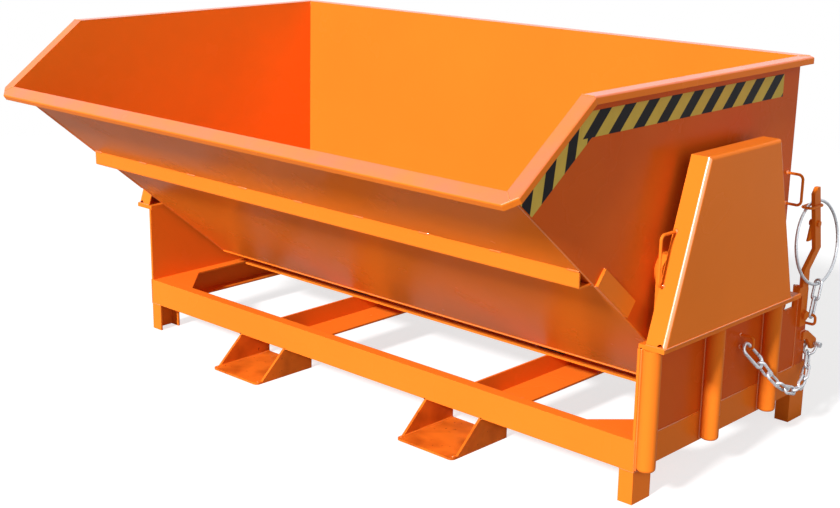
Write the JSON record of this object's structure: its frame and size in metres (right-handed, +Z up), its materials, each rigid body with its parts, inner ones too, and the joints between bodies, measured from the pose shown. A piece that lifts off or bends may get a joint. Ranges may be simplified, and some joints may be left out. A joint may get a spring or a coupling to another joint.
{
  "type": "tipping hopper",
  "caption": "Steel tipping hopper with a sloping pouring lip, pivoted on a base frame with fork pockets, end guards, a rear release lever with pull ring and a safety chain.",
  "frame": {"origin": "on the ground, under the middle of the whole object's box", "axes": "X along the length with the lock at +X, -Y the pouring side, Z up"},
  "size_m": [2.1447, 1.5116, 1.075],
  "materials": {
    "orange": "satin orange paint",
    "zinc": "bright zinc plating",
    "dark_steel": "bare oiled steel",
    "rubber": "matt black"
  },
  "bodies": {
    "frame": {"front_rail": "orange", "rear_rail": "orange", "end_rail_right": "orange", "end_rail_left": "orange", "feet": "orange", "corner_gussets": "orange", "cross_beam_left": "orange", "cross_beam_right": "orange", "fork_shoe_left": "orange", "fork_shoe_right": "orange", "rest_plate": "orange", "rest_pads": "rubber", "end_plate_right": "orange", "end_plate_left": "orange", "ledge_right": "orange", "ledge_left": "orange", "guard_right": "orange", "guard_left": "orange", "bearing_post_right": "orange", "bearing_post_left": "orange", "post_tubes": "orange", "guard_loop": "orange", "lock_post": "orange", "lever_bolt": "orange", "post_eye": "orange", "chain_eye": "orange", "shackle_lug": "orange", "carabiner_body": "zinc", "shackle_bow": "zinc", "shackle_pin": "zinc"},
    "hopper": {"hopper_front": "orange", "hopper_bottom": "orange", "hopper_rear": "orange", "hopper_end_right": "orange", "hopper_end_left": "orange", "rim_front": "orange", "rim_right": "orange", "rim_left": "orange", "rim_rear": "orange", "stiffener": "orange", "stop_lugs": "orange", "latch_loop": "orange", "pivot_pin_right": "orange", "pivot_pin_left": "orange", "pivot_collars": "dark_steel", "catch_plate": "orange"},
    "lever": {"lock_lever": "orange", "lever_eye": "orange", "pawl_bolt": "orange"},
    "pawl": {"pawl": "orange"},
    "ring": {"pull_ring": "zinc"},
    "ring_links": {"ring_links": "zinc"},
    "chain": {"chain_links": "zinc"},
    "gate": {"carabiner_gate": "zinc"}
  },
  "joints": [
    {"name": "hopper_tip", "type": "hinge", "parent": "frame", "child": "hopper", "pos_m": [0, -0.1065, 0.6], "axis": [1, 0, 0], "range_deg": [0, 75]},
    {"name": "lever_release", "type": "hinge", "parent": "frame", "child": "lever", "pos_m": [1.0003, 0.5775, 0.33], "axis": [-1, 0, 0], "range_deg": [0, 15], "stiffness_Nm_per_rad": 8, "springref_deg": -11.46},
    {"name": "pawl_swing", "type": "hinge", "parent": "lever", "child": "pawl", "pos_m": [1.0003, 0.61767, 0.592], "axis": [1, 0, 0], "range_deg": [-12, 12]},
    {"name": "ring_swing", "type": "hinge", "parent": "lever", "child": "ring", "pos_m": [0.9933, 0.63077, 0.645], "axis": [1, 0, 0], "range_deg": [0, 4]},
    {"name": "ring_link_swing", "type": "hinge", "parent": "frame", "child": "ring_links", "pos_m": [1.02267, 0.60544, 0.32626], "axis": [1, 0, 0], "range_deg": [0, 4]},
    {"name": "chain_swing", "type": "hinge", "parent": "frame", "child": "chain", "pos_m": [1.04244, 0.29859, 0.25961], "axis": [0.108, -0.9787, 0.1747], "range_deg": [0, 12]},
    {"name": "carabiner_gate", "type": "hinge", "parent": "frame", "child": "gate", "pos_m": [1.0302, 0.29666, 0.28709], "axis": [0.9135, 0, 0.4067], "range_deg": [0, 20], "stiffness_Nm_per_rad": 0.05, "springref_deg": -17.19}
  ]
}
